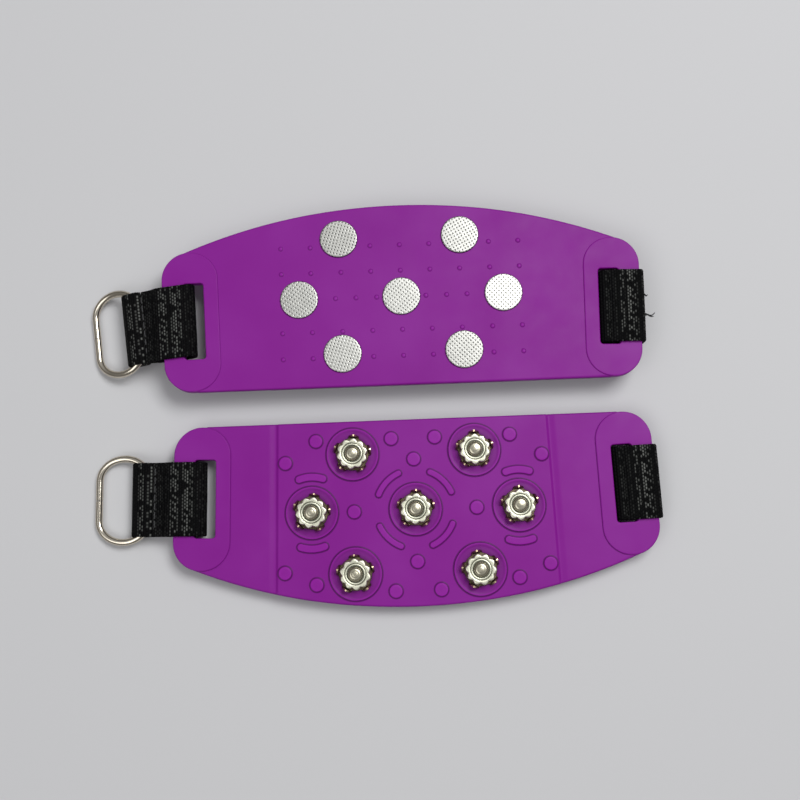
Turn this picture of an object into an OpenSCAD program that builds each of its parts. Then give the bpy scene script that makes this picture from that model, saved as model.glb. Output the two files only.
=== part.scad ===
// A pair of strap-on ice grips. Each is a moulded rubber plate that wraps under the ball of a shoe, with
// seven steel studs, a webbing tab with an oval ring at its left end and a webbing strap at its right end.
// Grip a lies studs down and grip b lies studs up. Each strap is tucked flat under its own plate.
// A grip's own frame has X along the plate, Y towards its straight edge, Z from the foot side to the studs.

/* [Plate] */
// Distance of the straight edge from the centre stud
straight_edge = 30.2; // [29:0.2:32]
// Distance of the middle of the curved edge from the centre stud
curved_edge = 32.0; // [31:0.2:36]
// Radius of the curved edge
curved_edge_r = 195; // [180:5:230]
// Thickness of the middle of the plate
sole_t = 3.0; // [2.8:0.1:3.4]
// Thickness of the wings
wing_t = 2.6; // [2.4:0.1:2.8]
// Thickness of the end pads, which stand proud on both sides
pad_t = 3.6; // [3.4:0.1:3.8]
// Distance of each fold line from the centre stud
fold_x = 46.7; // [45:0.1:48]
// How far each end leans out towards the curved edge, in degrees
splay = 1.5; // [0:0.1:2]

/* [Bar and slot] */
// Distance of each bar's middle from the centre stud
bar_x = 77; // [76:0.5:80]
// Width of the bar
bar_w = 7; // [6.5:0.1:7.2]
// Width of the slot
slot_w = 7; // [6.8:0.1:7.4]
// Length of the slot
slot_length = 26; // [26:0.1:28]
// Distance of the slot's middle towards the straight edge
slot_y = 6.2; // [5:0.1:6.8]

/* [Studs] */
// Radius of the flat head on the foot side
head_r = 6.4; // [6:0.1:6.8]
// How far the head stands proud of the foot side
head_proud = 0.7; // [0.5:0.1:0.9]
// Radius of the raised round boss under each stud
boss_r = 8.8; // [8.4:0.1:9]
// Radius of the crown's tooth tips
crown_r = 5.2; // [5:0.05:5.2]
// Number of teeth on the crown
crown_teeth = 10; // [8:1:12]
// Number of claws on the washer
claws = 5; // [4:1:6]
// Height of the stud's tip above the foot side
tip_z = 8.3; // [8.2:0.1:8.8]
// Radius of the rivet's pin
pin_r = 1.6; // [1.4:0.1:1.8]

/* [Webbing] */
// Width of the webbing
web_w = 24.6; // [22:0.2:24.8]
// Thickness of the webbing
web_t = 1.3; // [1.1:0.05:1.3]
// Thickness of the hook tape and the loop tape
tape_t = 1.2; // [1:0.1:1.4]
// Length of each of the two tapes
tape_length = 43; // [30:1:43]
// Length of the strap's free end
tail_length = 96; // [95:1:98]

/* [Ring] */
// Diameter of the ring's wire
wire_d = 2.4; // [2.2:0.1:2.4]
// Length of the ring across the webbing, between wire centres
ring_length = 27.4; // [27.4:0.1:29]
// Width of the ring, between wire centres
ring_width = 17.4; // [17:0.1:18]
// Radius of the ring's corners, at the wire's centre
ring_corner_r = 7.5; // [7:0.1:7.6]

/* [Layout] */
// Distance between the two centre studs along Y
pair_spacing = 71.5; // [68:0.5:80]
// How far grip b sits along X from grip a
pair_shift = 2; // [0:0.5:4]
// How far grip a's ring tab is turned in the plane of its plate, in degrees
tab_twist_a = 4; // [0:0.5:4]

/* [Hidden] */
$fn = 48;

// The two grips, and the two ends of each
a = 0;
b = 1;
left = -1;
right = 1;

// Small clearances: between parts that touch at rest, and along a joint's gap
touch_gap = 0.02;
cut_gap = 0.025;
fit_gap = 0.1;
// How far a cutting tool runs past what it cuts
over = 1;
// Size of the blocks that cut the plate, larger than the part they cut
cut_block = [60, 100, 20];

// Heights of the plates: each stands on its own tucked strap
strap_stack = web_t + tape_t;
foot_face_z = [strap_stack + touch_gap + tip_z, strap_stack + touch_gap + head_proud];
pad_mid_z = 1.4;
bar_z = [foot_face_z[a] - pad_mid_z, foot_face_z[b] + pad_mid_z];

// Places of the centre studs. The rings stand out further than the straps, so the grips sit off centre
ring_reach = 107.6;
strap_reach = 81.9;
grip_x = [(ring_reach - strap_reach - pair_shift) / 2, (ring_reach - strap_reach + pair_shift) / 2];
grip_y = [pair_spacing / 2, -pair_spacing / 2];
// Which way each grip's own Y and Z point
own_y = [-1, 1];

// Studs, in the grip's own frame
stud_places = [[0, 0], [34.5, 0], [-34.5, 0], [20.4, 19], [-20.4, 19], [20.6, -20.6], [-20.6, -20.6]];
relief_h = 0.5;
dot_r = 2.3;
centre_arc = [13.2, 2.1, 21.5];
end_arc = [11.9, 2.6, 19.5];
pimple_h = 0.3;
pimple_r = [0.6, 0.9];
washer_z = sole_t + relief_h;
washer_t = 0.8;
crown_z = washer_z + washer_t;
crown_h = 2.8;
head_sunk = 0.3;
head_bevel = 0.25;
pin_gap = 0.05;
tip_r = 2.3;
tip_dome_h = 0.6;
tooth_h = 0.5;
crown_bevel = [0.9, 0.8];
crown_groove_r = [2.8, 3.5];
crown_groove_depth = 0.5;
washer_r = 5.7;
claw_foot_r = 5.6;
claw_lean = 72;
claw_length = 2.5;
claw_width = 3.4;
claw_t = 0.7;

// Plate details
pad_corner_r = 9.5;
slot_corner_r = 1.0;
pad_inner_x = -15.5;
pad_y = [-23.9, 24.0];
fold_y = -1.5;
curve_end_x = 75;
straight_end_x = 70.5;
fold_groove = 0.9;
fold_groove_depth = 0.5;

// Webbing round the bars. Heights are from the bar's middle and distances are outward from it
bar_gap = pad_t / 2 + fit_gap;
layer_h = bar_gap + web_t / 2;
tab_pivot_x = 8.4;
loop_end_x = 6.6;
loop_waist_x = 4.8;
// How far the fold round the ring tab's bar stands off the bar, so that the tab can lie askew
loop_slack = 0.9;
layer_gap = 0.05;
tab_end = 1.8;
ring_near = 3.9;
// Distances from the ring's near side: where the pocket's walls have opened, and where its fold is centred
pocket_open_x = -0.8;
pocket_fold_x = 3;
ring_joint_gap = 0.25;
ring_far = ring_near + ring_width;
strap_rise_x = bar_w / 2 + fit_gap + web_t / 2;
strap_corner_r = web_t / 2 + 0.2;
slot_fold_r = 2.145;
base_h = -(layer_h + web_t + fit_gap);
base_bend_x = -10;
base_low_x = -21.5;
tail_pivot_x = -24;
tape_start = 3;
tape_spacing = 4;
tape_w = web_w - 2;

// The webbing hangs from the bar until the ring lies on the floor
ring_droop = [for (g = [a, b]) asin((bar_z[g] - wire_d / 2) / ring_far)];
// The strap's free end lies flat on the floor, on its tapes
tail_h = [for (g = [a, b]) strap_stack - web_t / 2 - bar_z[g]];

// ---- Frames ----

module in_grip(g) {
    translate([grip_x[g], grip_y[g], foot_face_z[g]])
        rotate([g == a ? 180 : 0, 0, 0])
            children();
}

module to_side(side) {
    if (side == right) children();
    else mirror([1, 0, 0]) children();
}

// A plate's end in its own frame, with X outward from the middle of the bar
module at_pad(side) {
    to_side(side)
        translate([bar_x, slot_y, 0])
            rotate([0, 0, splay])
                children();
}

module at_fold(side) {
    to_side(side)
        translate([fold_x, fold_y, 0])
            rotate([0, 0, splay])
                children();
}

// A bar as it lies, with X outward and Z straight up
module at_bar(g, side) {
    twist = (g == a && side == left) ? tab_twist_a : 0;
    translate([grip_x[g] + side * bar_x, grip_y[g] + own_y[g] * slot_y, bar_z[g]])
        rotate([0, 0, own_y[g] * side * splay + twist])
            to_side(side)
                children();
}

module at_tab(g) {
    at_bar(g, left)
        translate([tab_pivot_x, 0, 0])
            rotate([0, ring_droop[g], 0])
                children();
}

module at_studs() {
    for (place = stud_places)
        translate([place[0], place[1], 0])
            children();
}

// ---- Webbing as a strip that follows a path of [outward, height] points ----

function unit(v) = v / norm(v);
function normal(v) = [-v[1], v[0]];
function side_step(path, i) =
    let (
        before = unit(i > 0 ? path[i] - path[i - 1] : path[1] - path[0]),
        after = unit(i < len(path) - 1 ? path[i + 1] - path[i] : path[i] - path[i - 1])
    )
    (normal(before) + normal(after)) / (1 + before * after);
function strip_outline(path, t) = concat(
    [for (i = [0 : len(path) - 1]) path[i] + side_step(path, i) * t / 2],
    [for (i = [len(path) - 1 : -1 : 0]) path[i] - side_step(path, i) * t / 2]
);
function arc(centre, r, from, to, steps) =
    [for (k = [0 : steps]) let (turn = from + (to - from) * k / steps) centre + r * [cos(turn), sin(turn)]];

module across(width) {
    rotate([90, 0, 0])
        linear_extrude(width, center = true)
            children();
}

module strip(path, t) {
    across(web_w) polygon(strip_outline(path, t));
}

// A round end on a hinge line
module hinge_root(r) {
    rotate([90, 0, 0]) cylinder(r = r, h = web_w, center = true);
}

// ---- Rubber plate ----

// A rectangle from its low corner to its high corner, with round corners
module rounded_rectangle(low, high, r) {
    polygon(concat(
        arc([high[0] - r, high[1] - r], r, 0, 90, 8),
        arc([low[0] + r, high[1] - r], r, 90, 180, 8),
        arc([low[0] + r, low[1] + r], r, 180, 270, 8),
        arc([high[0] - r, low[1] + r], r, 270, 360, 8)
    ));
}

module end_pad() {
    translate([0, 0, pad_mid_z - pad_t / 2])
        linear_extrude(pad_t) rounded_rectangle([pad_inner_x, pad_y[0]], [bar_w / 2, pad_y[1]], pad_corner_r);
}

module plate_sheet(t) {
    intersection() {
        linear_extrude(t)
            polygon([
                [-curve_end_x, -curved_edge], [curve_end_x, -curved_edge],
                [straight_end_x, straight_edge], [-straight_end_x, straight_edge]
            ]);
        translate([0, curved_edge_r - curved_edge, -over])
            cylinder(r = curved_edge_r, h = t + 2 * over, $fn = 360);
    }
}

// Everything outward of a fold line, from a given distance
module beyond_fold(side, from) {
    at_fold(side) translate([from, -cut_block[1] / 2, -cut_block[2] / 2]) cube(cut_block);
}

module fold_groove_cut(side, t) {
    at_fold(side) translate([-fold_groove, -cut_block[1] / 2, t - fold_groove_depth])
        cube([2 * fold_groove, cut_block[1], 2 * over]);
}

// An arc-shaped rib. Its shape is its radius, its width and half the angle it covers
module arc_rib(shape, middle) {
    r = shape[0];
    width = shape[1];
    half_angle = shape[2];
    rotate([0, 0, middle - half_angle])
        rotate_extrude(angle = 2 * half_angle, $fn = 96)
            translate([r - width / 2, 0]) square([width, relief_h + over / 2]);
    for (turn = [middle - half_angle, middle + half_angle])
        rotate([0, 0, turn]) translate([r, 0, 0]) cylinder(d = width, h = relief_h + over / 2, $fn = 24);
}

// Raised dots on the ground side. Those off the middle line come in left and right pairs
module ground_dots() {
    pairs = [[7.3, 23.8], [32.5, 23.8], [42.9, 16.8], [20.4, -0.2], [43.9, -19.5], [33.5, -23.7], [7.5, -26.7]];
    singles = [[0, 16.7], [0, -17.3]];
    places = concat(singles, pairs, [for (p = pairs) [-p[0], p[1]]]);
    for (p = places)
        translate([p[0], p[1], 0]) cylinder(r = dot_r, h = relief_h + over / 2, $fn = 32);
}

module ground_relief() {
    translate([0, 0, sole_t - over / 2]) {
        ground_dots();
        for (middle = [45 : 90 : 315]) arc_rib(centre_arc, middle);
        for (place = [stud_places[1], stud_places[2]], middle = [90, 270])
            translate([place[0], 0, 0]) arc_rib(end_arc, middle);
        at_studs() cylinder(r = boss_r, h = relief_h + over / 2);
    }
}

// Small pimples on the foot side, in rows between the stud heads
module foot_pimples() {
    full_row = [-40.3, -30.3, -20.1, -10, 0, 10, 20.1, 30.3, 40.3];
    no_heads_row = [-40.3, -30.3, -10, 0, 10, 30.3, 40.3];
    middle_row = [-22.2, -15.3, -8.3, 8.3, 15.3, 22.2];
    rows = [[-17.9, no_heads_row], [-9, full_row], [0, middle_row], [11.4, full_row], [20.3, no_heads_row]];
    for (row = rows, x = row[1])
        translate([x, row[0], -pimple_h])
            cylinder(r1 = pimple_r[0], r2 = pimple_r[1], h = pimple_h + over / 2, $fn = 16);
}

module sole() {
    color("#82298e")
    difference() {
        union() {
            plate_sheet(sole_t);
            ground_relief();
            foot_pimples();
        }
        for (side = [left, right]) {
            beyond_fold(side, -cut_gap);
            fold_groove_cut(side, sole_t);
        }
        at_studs() {
            translate([0, 0, -over]) cylinder(r = pin_r + pin_gap, h = washer_z + 2 * over, $fn = 32);
            translate([0, 0, -over]) cylinder(r = head_r + pin_gap, h = over + head_sunk);
        }
    }
}

module slot_cut() {
    bar_face = -bar_w / 2;
    translate([0, 0, -cut_block[2] / 2])
        linear_extrude(cut_block[2])
            rounded_rectangle([bar_face - slot_w, -slot_length / 2], [bar_face, slot_length / 2], slot_corner_r);
}

module wing(side) {
    color("#82298e")
    difference() {
        union() {
            intersection() {
                plate_sheet(wing_t);
                beyond_fold(side, cut_gap);
            }
            at_pad(side) end_pad();
        }
        fold_groove_cut(side, wing_t);
        at_pad(side) slot_cut();
    }
}

// ---- Studs ----

module head_discs() {
    color("#c9cbcc")
    at_studs() translate([0, 0, -head_proud]) {
        cylinder(r1 = head_r - head_bevel, r2 = head_r, h = head_bevel);
        translate([0, 0, head_bevel]) cylinder(r = head_r, h = head_proud + head_sunk - head_bevel);
    }
}

module rivet_pins() {
    dome_r = (tip_r * tip_r + tip_dome_h * tip_dome_h) / (2 * tip_dome_h);
    collar_z = crown_z + crown_h;
    color("#b9b4a2")
    at_studs() {
        translate([0, 0, head_sunk]) cylinder(r = pin_r, h = collar_z - head_sunk, $fn = 32);
        translate([0, 0, collar_z]) cylinder(r = tip_r, h = tip_z - tip_dome_h - collar_z, $fn = 32);
        intersection() {
            translate([0, 0, tip_z - tip_dome_h]) cylinder(r = tip_r, h = tip_dome_h, $fn = 32);
            translate([0, 0, tip_z - dome_r]) sphere(r = dome_r, $fn = 96);
        }
    }
}

// A toothed ring with its rim bevelled and a groove round its top
module crowns() {
    step = 180 / crown_teeth;
    radii = [crown_r, crown_r - tooth_h];
    star = [for (k = [0 : 2 * crown_teeth - 1]) radii[k % 2] * [cos(k * step), sin(k * step)]];
    straight_h = crown_h - crown_bevel[1];
    color("#d8d3c4")
    at_studs() translate([0, 0, crown_z])
        difference() {
            intersection() {
                linear_extrude(crown_h) polygon(star);
                union() {
                    cylinder(r = crown_r + over, h = straight_h);
                    translate([0, 0, straight_h])
                        cylinder(r1 = crown_r, r2 = crown_r - crown_bevel[0], h = crown_bevel[1]);
                }
            }
            translate([0, 0, -over]) cylinder(r = pin_r + pin_gap, h = crown_h + 2 * over, $fn = 32);
            translate([0, 0, crown_h - crown_groove_depth]) difference() {
                cylinder(r = crown_groove_r[1], h = over);
                translate([0, 0, -over]) cylinder(r = crown_groove_r[0], h = 3 * over);
            }
        }
}

module claw_washers() {
    claw = [[0, -claw_width / 2], [claw_length, 0], [0, claw_width / 2]];
    color("#8f8259")
    at_studs() translate([0, 0, washer_z])
        difference() {
            union() {
                cylinder(r = washer_r, h = washer_t);
                for (k = [0 : claws - 1])
                    rotate([0, 0, 90 + k * 360 / claws])
                        translate([claw_foot_r, 0, washer_t / 2])
                            rotate([0, -claw_lean, 0])
                                linear_extrude(claw_t, center = true) polygon(claw);
            }
            translate([0, 0, -over]) cylinder(r = pin_r + pin_gap, h = washer_t + 2 * over, $fn = 32);
            translate([0, 0, -over]) cylinder(r = boss_r, h = over);
        }
}

// ---- Ring tab ----

module ring_loop(g) {
    end_h = web_t / 2 + layer_gap;
    path = concat(
        [[loop_end_x, end_h], [loop_waist_x, layer_h]],
        arc([-bar_w / 2 + fit_gap - loop_slack, 0], layer_h, 90, 270, 12),
        [[loop_waist_x, -layer_h], [loop_end_x, -end_h]]
    );
    color("#17171a") at_bar(g, left) strip(path, web_t);
}

module ring_tab(g) {
    color("#1b1b1e")
    at_tab(g) {
        hinge_root(web_t);
        strip([[0, 0], [tab_end, 0]], 2 * web_t);
    }
}

// The sewn pocket round the ring's near side. Its fold is cut back at both edges, where the ring turns outward
module ring_pocket(g) {
    wall_h = wire_d / 2 + fit_gap + web_t / 2;
    open_x = ring_near + pocket_open_x;
    fold_x_mid = ring_near + pocket_fold_x;
    path = concat(
        [[tab_end, web_t / 2], [open_x, wall_h]],
        arc([fold_x_mid, 0], wall_h, 90, -90, 12),
        [[open_x, -wall_h], [tab_end, -web_t / 2]]
    );
    corner_cut = 1;
    color("#1b1b1e")
    at_tab(g)
        difference() {
            strip(path, web_t);
            translate([tab_end - over, -web_w / 2 - over, -wall_h])
                cube([over, web_w + 2 * over, 2 * wall_h]);
            for (y = [-web_w / 2 - over, web_w / 2 - corner_cut])
                translate([fold_x_mid - fit_gap, y, -2 * wall_h])
                    cube([2 * wall_h, corner_cut + over, 4 * wall_h]);
        }
}

module ring(g) {
    half_length = ring_length / 2 - ring_corner_r;
    half_width = ring_width / 2 - ring_corner_r;
    color("#c4c3bb")
    at_tab(g) translate([ring_near + ring_width / 2, 0, 0])
        difference() {
            union() {
                for (x = [-ring_width / 2, ring_width / 2]) translate([x, 0, 0])
                    rotate([90, 0, 0]) cylinder(d = wire_d, h = 2 * half_length, center = true);
                for (y = [-ring_length / 2, ring_length / 2]) translate([0, y, 0])
                    rotate([0, 90, 0]) cylinder(d = wire_d, h = 2 * half_width, center = true);
                for (corner = [[1, 1, 0], [-1, 1, 90], [-1, -1, 180], [1, -1, 270]])
                    translate([corner[0] * half_width, corner[1] * half_length, 0])
                        rotate([0, 0, corner[2]])
                            rotate_extrude(angle = 90, $fn = 96)
                                translate([ring_corner_r, 0]) circle(d = wire_d);
            }
            translate([0, -ring_joint_gap / 2, -wire_d]) cube([ring_width, ring_joint_gap, 2 * wire_d]);
        }
}

// ---- Strap ----

// Over the bar, down through the slot and back under the bar
module strap_loop(g) {
    slot_fold = [-bar_w / 2 - slot_w + fit_gap + web_t / 2 + slot_fold_r, slot_fold_r - layer_h];
    path = concat(
        [[strap_rise_x, base_h + web_t / 2 + fit_gap]],
        arc([strap_rise_x - strap_corner_r, layer_h - strap_corner_r], strap_corner_r, 0, 90, 6),
        [[-bar_w / 2, layer_h]],
        arc(slot_fold, slot_fold_r, 90, 270, 12),
        [[bar_w / 2 - touch_gap, -layer_h]]
    );
    color("#17171a") at_bar(g, right) strip(path, web_t);
}

module strap_base(g) {
    base_end_x = tail_pivot_x + web_t / 2 + layer_gap;
    path = [[strap_rise_x, base_h], [base_bend_x, base_h], [base_low_x, tail_h[g]], [base_end_x, tail_h[g]]];
    color("#1b1b1e")
    at_bar(g, right) {
        strip(path, web_t);
        translate([strap_rise_x, 0, base_h]) hinge_root(web_t / 2);
    }
}

module strap_tail(g) {
    color("#17171a")
    at_bar(g, right) translate([tail_pivot_x, 0, tail_h[g]]) {
        strip([[0, 0], [-tail_length, 0]], web_t);
        hinge_root(web_t / 2);
    }
}

module tape(g, from) {
    at_bar(g, right)
        translate([tail_pivot_x - from - tape_length, -tape_w / 2, tail_h[g] - web_t / 2 - tape_t])
            cube([tape_length, tape_w, tape_t]);
}

module loop_tape(g) {
    color("#222226") tape(g, tape_start);
}

module hook_tape(g) {
    color("#2b2b30") tape(g, tape_start + tape_length + tape_spacing);
}

in_grip(a) sole();  // a_sole
in_grip(a) wing(left);  // a_wing_left
in_grip(a) wing(right);  // a_wing_right
in_grip(a) head_discs();  // a_head_discs
in_grip(a) rivet_pins();  // a_rivet_pins
in_grip(a) crowns();  // a_crowns
in_grip(a) claw_washers();  // a_claw_washers
ring_loop(a);  // a_ring_loop
ring_tab(a);  // a_ring_tab
ring_pocket(a);  // a_ring_pocket
ring(a);  // a_ring
strap_loop(a);  // a_strap_loop
strap_base(a);  // a_strap_base
strap_tail(a);  // a_strap_tail
loop_tape(a);  // a_loop_tape
hook_tape(a);  // a_hook_tape
in_grip(b) sole();  // b_sole
in_grip(b) wing(left);  // b_wing_left
in_grip(b) wing(right);  // b_wing_right
in_grip(b) head_discs();  // b_head_discs
in_grip(b) rivet_pins();  // b_rivet_pins
in_grip(b) crowns();  // b_crowns
in_grip(b) claw_washers();  // b_claw_washers
ring_loop(b);  // b_ring_loop
ring_tab(b);  // b_ring_tab
ring_pocket(b);  // b_ring_pocket
ring(b);  // b_ring
strap_loop(b);  // b_strap_loop
strap_base(b);  // b_strap_base
strap_tail(b);  // b_strap_tail
loop_tape(b);  // b_loop_tape
hook_tape(b);  // b_hook_tape
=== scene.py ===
import math
import random

import bmesh
import bpy
import numpy as np
from mathutils import Matrix, Vector, noise


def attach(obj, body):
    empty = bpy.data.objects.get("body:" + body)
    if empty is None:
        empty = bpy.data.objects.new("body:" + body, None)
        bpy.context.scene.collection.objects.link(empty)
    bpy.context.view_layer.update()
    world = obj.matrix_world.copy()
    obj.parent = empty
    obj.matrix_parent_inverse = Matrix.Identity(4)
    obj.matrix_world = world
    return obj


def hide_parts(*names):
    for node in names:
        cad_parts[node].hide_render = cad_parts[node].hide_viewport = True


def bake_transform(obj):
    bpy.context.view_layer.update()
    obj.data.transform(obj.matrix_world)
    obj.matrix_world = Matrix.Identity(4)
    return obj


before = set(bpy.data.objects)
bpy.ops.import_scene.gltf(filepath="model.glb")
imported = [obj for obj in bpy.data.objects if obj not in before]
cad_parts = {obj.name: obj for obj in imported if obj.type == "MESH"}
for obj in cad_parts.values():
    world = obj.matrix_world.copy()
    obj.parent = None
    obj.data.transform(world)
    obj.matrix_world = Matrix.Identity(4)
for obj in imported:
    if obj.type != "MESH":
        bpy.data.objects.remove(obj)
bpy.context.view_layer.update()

MM = 0.001
LEFT, RIGHT = -1, 1

# ---------------------------------------------------------------- camera

# Nearly straight down, from a little towards the viewer, and turned a little
CAMERA_REACH, CAMERA_TILT, CAMERA_TURN = 373, math.radians(8), math.radians(-2.2)
LOOK_AT = Vector((10.05, 0.8, 8))
cam_data = bpy.data.cameras.new("camera")
camera = bpy.data.objects.new("camera", cam_data)
bpy.context.scene.collection.objects.link(camera)
cam_data.lens = 50
cam_data.sensor_width = 36
cam_data.clip_start = 0.01
cam_data.clip_end = 10
camera.rotation_euler = (CAMERA_TILT, 0, CAMERA_TURN)
camera.location = (LOOK_AT + camera.rotation_euler.to_matrix() @ Vector((0, 0, CAMERA_REACH))) * MM
bpy.context.scene.camera = camera

# ---------------------------------------------------------------- layout, in mm

GRIP_AT = {"a": (11.85, 35.75, 10.82), "b": (13.85, -35.75, 3.22)}
BAR_Z = {"a": 9.42, "b": 4.62}
OWN_Y = {"a": -1, "b": 1}
DROOP = {"a": 22.70, "b": 9.24}
TAIL_H = {"a": -7.57, "b": -2.77}
TAB_TWIST = 4
SPLAY = 1.5
BAR_X, SLOT_Y = 77, 6.2
FOLD_X, FOLD_Y = 46.7, -1.5
STUDS = [(0, 0), (34.5, 0), (-34.5, 0), (20.4, 19), (-20.4, 19), (20.6, -20.6), (-20.6, -20.6)]
STRAIGHT_EDGE, CURVED_EDGE, CURVE_R = 30.2, 32.0, 195
SOLE_T, WING_T = 3.0, 2.6
# Webbing: width, thickness, and the length and width of one pair of yarns
WEB_W, WEB_T, PICK, END = 24.6, 1.3, 1.6, 1.12
# The groove at each fold line: its depth, the step into it and the run out of it
GROOVE, STEP_RUN, GROOVE_RUN = 0.3, 1.1, 2.4
# The end pads, in a pad's frame: corners, corner radius, lowest and highest level, and the slot
PAD_LOW, PAD_HIGH, PAD_R, PAD_Z, PAD_RIM = (-15.5, -23.9), (3.5, 24.0), 9.5, (-0.4, 3.2), 0.42
SLOT_LOW, SLOT_HIGH, SLOT_R = (-10.5, -13.0), (-3.5, 13.0), 1.0
# Relief on the ground side. An arc is its radius, width and half angle
RELIEF_H, DOT_R, BOSS_R = 0.5, 2.3, 8.8
CENTRE_ARC, END_ARC = (13.2, 2.1, 21.5), (11.9, 2.6, 19.5)
# A stud: its head's radius and how far that stands out, its crown's radius and teeth, its washer's claws
HEAD_R, HEAD_PROUD, CROWN_R, CROWN_TEETH, CLAWS = 6.4, 0.7, 5.2, 10, 5
# Distance from a bar's middle plane to the middle of the webbing round it, and to the strap below it
LAYER_H, STRAP_H = 2.55, 3.95
TAB_PIVOT = 8.4
WIRE_R = 1.2
# The strap's hidden bend and its far end, outward from the bar's middle
STRAP_BEND_X, STRAP_END_X = -24.0, -119.8
# The tapes under the strap's free end: half their width, and where each ends
TAPE_HALF_W, LOOP_TAPE, HOOK_TAPE = 11.3, (-70.0, -27.0), (-117.0, -74.0)


def turn(axis, degrees):
    """A rotation about a named axis."""
    return Matrix.Rotation(math.radians(degrees), 4, axis)


def shift(x, y, z):
    """A move in mm."""
    return Matrix.Translation((x, y, z))


def grip_frame(g):
    """A grip's own frame: X along the plate, Y to the straight edge, Z from the foot side to the studs."""
    flip = turn("X", 180) if g == "a" else Matrix.Identity(4)
    return Matrix.Scale(MM, 4) @ shift(*GRIP_AT[g]) @ flip


def side_mirror(side):
    """Mirrors X for the left side, so that X points outward on both."""
    return Matrix.Diagonal((side, 1, 1, 1))


def pad_frame(g, side):
    """At the middle of an end pad, with X outward and Z from the foot side to the studs."""
    return grip_frame(g) @ side_mirror(side) @ shift(BAR_X, SLOT_Y, 0) @ turn("Z", SPLAY)


def bar_frame(g, side):
    """At the middle of a bar, with X outward and Z straight up."""
    x, y, _ = GRIP_AT[g]
    twist = TAB_TWIST if (g == "a" and side == LEFT) else 0
    return (Matrix.Scale(MM, 4) @ shift(x + side * BAR_X, y + OWN_Y[g] * SLOT_Y, BAR_Z[g])
            @ turn("Z", OWN_Y[g] * side * SPLAY + twist) @ side_mirror(side))


def tab_frame(g):
    """At the pivot of the ring tab, with X outward along the drooping webbing."""
    return bar_frame(g, LEFT) @ shift(TAB_PIVOT, 0, 0) @ turn("Y", DROOP[g])


# ---------------------------------------------------------------- mesh building

class Build:
    """Gathers shells into one mesh. tone scales the colour: in most shells it paints shade in creases and
    hollows and highlights on rims and tips, and sometimes it gives a part its brightness. uv is the place
    along and across in mm, and glint is how much painted highlight a weave gets."""

    def __init__(self):
        self.points, self.faces, self.tones, self.uvs, self.glints = [], [], [], [], []

    def add(self, points, faces, matrix=None, tone=None, uv=None, glint=None):
        """Adds one shell."""
        base = len(self.points)
        for i, p in enumerate(points):
            self.points.append(matrix @ Vector(p) if matrix is not None else Vector(p))
            self.tones.append(1.0 if tone is None else (tone if isinstance(tone, float) else tone[i]))
            self.uvs.append((0.0, 0.0) if uv is None else uv[i])
            self.glints.append(0.0 if glint is None else glint[i])
        self.faces += [[base + i for i in f] for f in faces]

    def finish(self, name, material, smooth=35, weighted=True):
        """Makes the object. Edges sharper than smooth degrees stay sharp."""
        mesh = bpy.data.meshes.new(name)
        mesh.from_pydata([tuple(p) for p in self.points], [], self.faces)
        tone = mesh.attributes.new("tone", "FLOAT", "POINT")
        tone.data.foreach_set("value", self.tones)
        if any(self.glints):
            mesh.attributes.new("glint", "FLOAT", "POINT").data.foreach_set("value", self.glints)
        lay = mesh.uv_layers.new(name="weave")
        corner = np.empty(len(mesh.loops), np.int32)
        mesh.loops.foreach_get("vertex_index", corner)
        lay.data.foreach_set("uv", np.array(self.uvs, np.float32)[corner].ravel())
        bm = bmesh.new()
        bm.from_mesh(mesh)
        bmesh.ops.recalc_face_normals(bm, faces=bm.faces)
        bm.to_mesh(mesh)
        bm.free()
        mesh.polygons.foreach_set("use_smooth", [True] * len(mesh.polygons))
        mesh.set_sharp_from_angle(angle=math.radians(smooth))
        mesh.materials.append(material)
        obj = bpy.data.objects.new(name, mesh)
        bpy.context.scene.collection.objects.link(obj)
        if weighted:
            mod = obj.modifiers.new("normals", "WEIGHTED_NORMAL")
            mod.keep_sharp = True
            mod.weight = 90
        return obj


def ring_faces(rows, cols):
    """Faces between rows of cols points, each row a closed ring."""
    out = []
    for r in range(rows - 1):
        a, b = r * cols, (r + 1) * cols
        for c in range(cols):
            d = (c + 1) % cols
            out.append([a + c, a + d, b + d, b + c])
    return out


def lathe(profile, n, radius=None):
    """Points, faces and tones of (r, z, tone) turned about Z. radius(r, angle) may reshape it."""
    points, tones, rows = [], [], []
    for r, z, tone in profile:
        if r < 1e-6:
            rows.append([len(points)])
            points.append((0, 0, z))
            tones.append(tone)
        else:
            rows.append(list(range(len(points), len(points) + n)))
            for k in range(n):
                a = 2 * math.pi * k / n
                q = radius(r, a) if radius else r
                points.append((q * math.cos(a), q * math.sin(a), z))
                tones.append(tone)
    faces = []
    for u, v in zip(rows, rows[1:]):
        for k in range(n):
            a, b = u[k % len(u)], u[(k + 1) % len(u)]
            c, d = v[(k + 1) % len(v)], v[k % len(v)]
            faces.append(list(dict.fromkeys([a, b, c, d])))
    return points, faces, tones


def stack(outline, levels):
    """A shape whose outline(inset) is stacked at levels of (inset, z, tone): closed on top, open below."""
    points, tones = [], []
    for inset, z, tone in levels:
        ring = outline(inset)
        points += [(x, y, z) for x, y in ring]
        tones += [tone] * len(ring)
    n = len(points) // len(levels)
    faces = ring_faces(len(levels), n) + [list(range(len(points) - n, len(points)))]
    return points, faces, tones


def rounded(low, high, r, steps=10):
    """A rectangle's outline with round corners, anticlockwise."""
    out = []
    for cx, cy, a0 in ((high[0] - r, high[1] - r, 0), (low[0] + r, high[1] - r, 90),
                       (low[0] + r, low[1] + r, 180), (high[0] - r, low[1] + r, 270)):
        for k in range(steps + 1):
            a = math.radians(a0 + 90 * k / steps)
            out.append((cx + r * math.cos(a), cy + r * math.sin(a)))
    return out


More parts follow.
